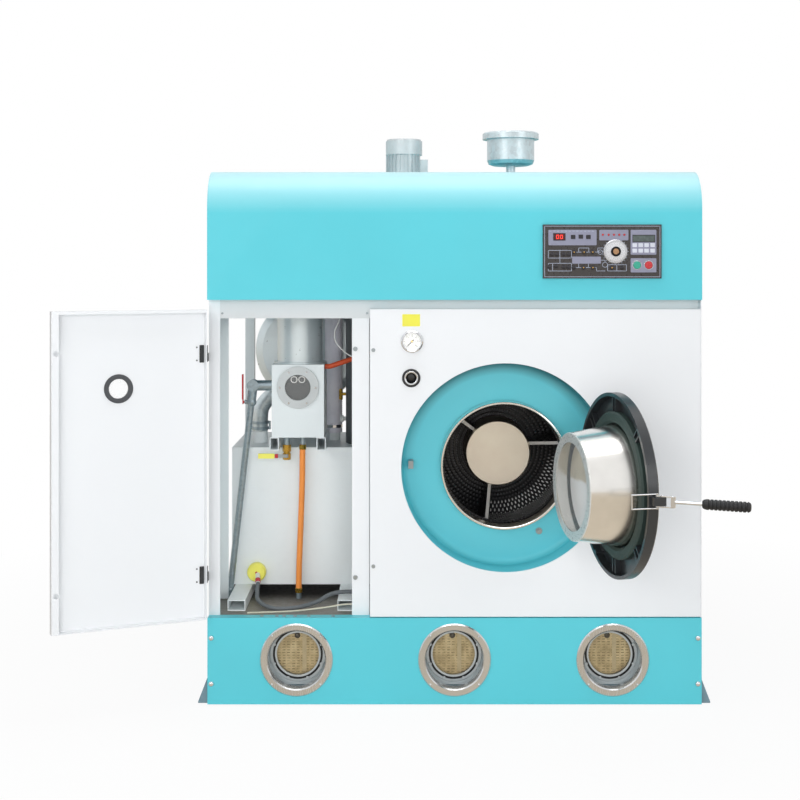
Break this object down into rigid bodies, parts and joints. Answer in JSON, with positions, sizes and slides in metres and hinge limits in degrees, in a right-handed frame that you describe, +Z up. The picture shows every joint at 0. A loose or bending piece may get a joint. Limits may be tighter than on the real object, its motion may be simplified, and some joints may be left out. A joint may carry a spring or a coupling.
{
  "type": "dry cleaning machine",
  "caption": "Front-loading dry cleaning machine: steel cabinet with hood and control panel, drum with hinged loading door, open service bay with still and separator.",
  "frame": {"origin": "centre of the rectangle of floor bolt holes, on the floor", "axes": "+X to the machine's right as seen from the front, the front faces -Y, +Z up"},
  "size_m": [2.2894, 1.9923, 2.089],
  "materials": {
    "teal_paint": "semi-gloss enamel",
    "white_paint": "semi-gloss powder coat",
    "grey_paint": "satin enamel",
    "pale_grey_paint": "satin enamel",
    "dark_paint": "satin enamel",
    "blue_grey_paint": "satin enamel",
    "stainless": "polished",
    "zinc": "zinc plated",
    "chrome": "bright",
    "cast": "painted casting",
    "black_rubber": "matt",
    "gasket_rubber": "matt",
    "grey_rubber": "matt",
    "orange_rubber": "satin",
    "lilac_hose": "ribbed",
    "glass": "clear",
    "black_plastic": "satin",
    "green_plastic": "gloss",
    "red_plastic": "gloss",
    "yellow_plastic": "gloss",
    "steel_dark": "machined"
  },
  "bodies": {
    "root": {"base_frame": "blue_grey_paint", "base_tank": "stainless", "base_cover": "grey_paint", "plinth": "teal_paint", "sight_flanges": "pale_grey_paint", "sight_glasses": "glass", "port_trims": "stainless", "frame_posts": "white_paint", "lintel": "pale_grey_paint", "front_panel": "white_paint", "right_panel": "white_paint", "hood": "teal_paint", "hood_ends": "teal_paint", "hood_rear": "teal_paint", "fasteners": "chrome", "recess_dish": "teal_paint", "loading_ring": "stainless", "tub": "dark_paint", "tub_cradle": "dark_paint", "bearing_housing": "cast", "drive_motor": "blue_grey_paint", "drive_belts": "black_rubber", "hinge_brackets": "dark_paint", "keeper": "zinc", "control_panel": "black_plastic", "pressure_gauge": "chrome", "level_sight": "black_plastic", "still_tank": "grey_paint", "separator": "grey_paint", "vapour_column": "grey_paint", "condenser": "grey_paint", "ribbed_hose": "lilac_hose", "pipework": "zinc", "hoses": "orange_rubber", "heater_cap": "yellow_plastic", "filter_housing": "dark_paint", "fan_motor": "zinc", "fan_housing": "zinc", "roof_vessel": "zinc"},
    "drum": {"drum": "stainless", "drum_shaft": "steel_dark", "drum_pulley": "cast"},
    "motor_rotor": {"motor_pulley": "cast"},
    "fan_rotor": {"fan_impeller": "zinc"},
    "loading_door": {"door_disc": "dark_paint", "door_gasket": "gasket_rubber", "door_cone": "stainless", "door_glass": "glass", "hinge_arm": "dark_paint"},
    "latch": {"latch_lever": "chrome", "latch_grip": "black_rubber"},
    "bail": {"latch_bail": "chrome"},
    "service_door": {"service_door": "white_paint", "window_ring": "grey_rubber"},
    "dial": {"program_dial": "chrome"},
    "start": {"start_button": "green_plastic"},
    "stop": {"stop_button": "red_plastic"},
    "needle": {"gauge_needle": "black_plastic"},
    "drain_handle": {"drain_lever": "yellow_plastic"},
    "water_handle": {"water_lever": "red_plastic"}
  },
  "joints": [
    {"name": "load_door_hinge", "type": "hinge", "parent": "root", "child": "loading_door", "pos_m": [0.506, -0.64, 0.843], "axis": [0, 0, 1], "range_deg": [-103, 20]},
    {"name": "latch_lever_pivot", "type": "hinge", "parent": "loading_door", "child": "latch", "pos_m": [0.6041, -1.27829, 0.843], "axis": [0, 0, 1], "range_deg": [-5, 100]},
    {"name": "latch_bail_pivot", "type": "hinge", "parent": "latch", "child": "bail", "pos_m": [0.58791, -1.27485, 0.843], "axis": [0, 0, 1], "range_deg": [-100, 5]},
    {"name": "service_door_hinge", "type": "hinge", "parent": "root", "child": "service_door", "pos_m": [-0.879, -0.604, 0.858], "axis": [0, 0, 1], "range_deg": [-16, 157]},
    {"name": "drum_spin", "type": "hinge", "parent": "root", "child": "drum", "pos_m": [0.181, -0.2, 0.843], "axis": [0, 1, 0], "continuous": true},
    {"name": "motor_spin", "type": "hinge", "parent": "root", "child": "motor_rotor", "pos_m": [0.56, 0.13, 0.44], "axis": [0, 1, 0], "continuous": true},
    {"name": "fan_spin", "type": "hinge", "parent": "root", "child": "fan_rotor", "pos_m": [-0.177, 0, 1.8], "axis": [0, 0, 1], "continuous": true},
    {"name": "dial_turn", "type": "hinge", "parent": "root", "child": "dial", "pos_m": [0.566, -0.624, 1.609], "axis": [0, 1, 0], "range_deg": [-150, 150]},
    {"name": "start_press", "type": "slide", "parent": "root", "child": "start", "axis": [0, 1, 0], "range_m": [0, 0.003], "stiffness_N_per_m": 300, "springref_m": -0.001},
    {"name": "stop_press", "type": "slide", "parent": "root", "child": "stop", "axis": [0, 1, 0], "range_m": [0, 0.003], "stiffness_N_per_m": 300, "springref_m": -0.001},
    {"name": "gauge_needle_turn", "type": "hinge", "parent": "root", "child": "needle", "pos_m": [-0.1506, -0.605, 1.2907], "axis": [0, 1, 0], "range_deg": [0, 270], "stiffness_Nm_per_rad": 0.0005},
    {"name": "drain_valve_turn", "type": "hinge", "parent": "root", "child": "drain_handle", "pos_m": [-0.618, -0.345, 0.849], "axis": [0, 1, 0], "range_deg": [-90, 0]},
    {"name": "water_valve_turn", "type": "hinge", "parent": "root", "child": "water_handle", "pos_m": [-0.775, -0.32, 1.048], "axis": [1, 0, 0], "range_deg": [0, 90]}
  ],
  "couplings": [
    {"joint": "motor_spin", "follows": "drum_spin", "ratio": 4.8},
    {"joint": "latch_bail_pivot", "follows": "latch_lever_pivot", "ratio": -1}
  ]
}
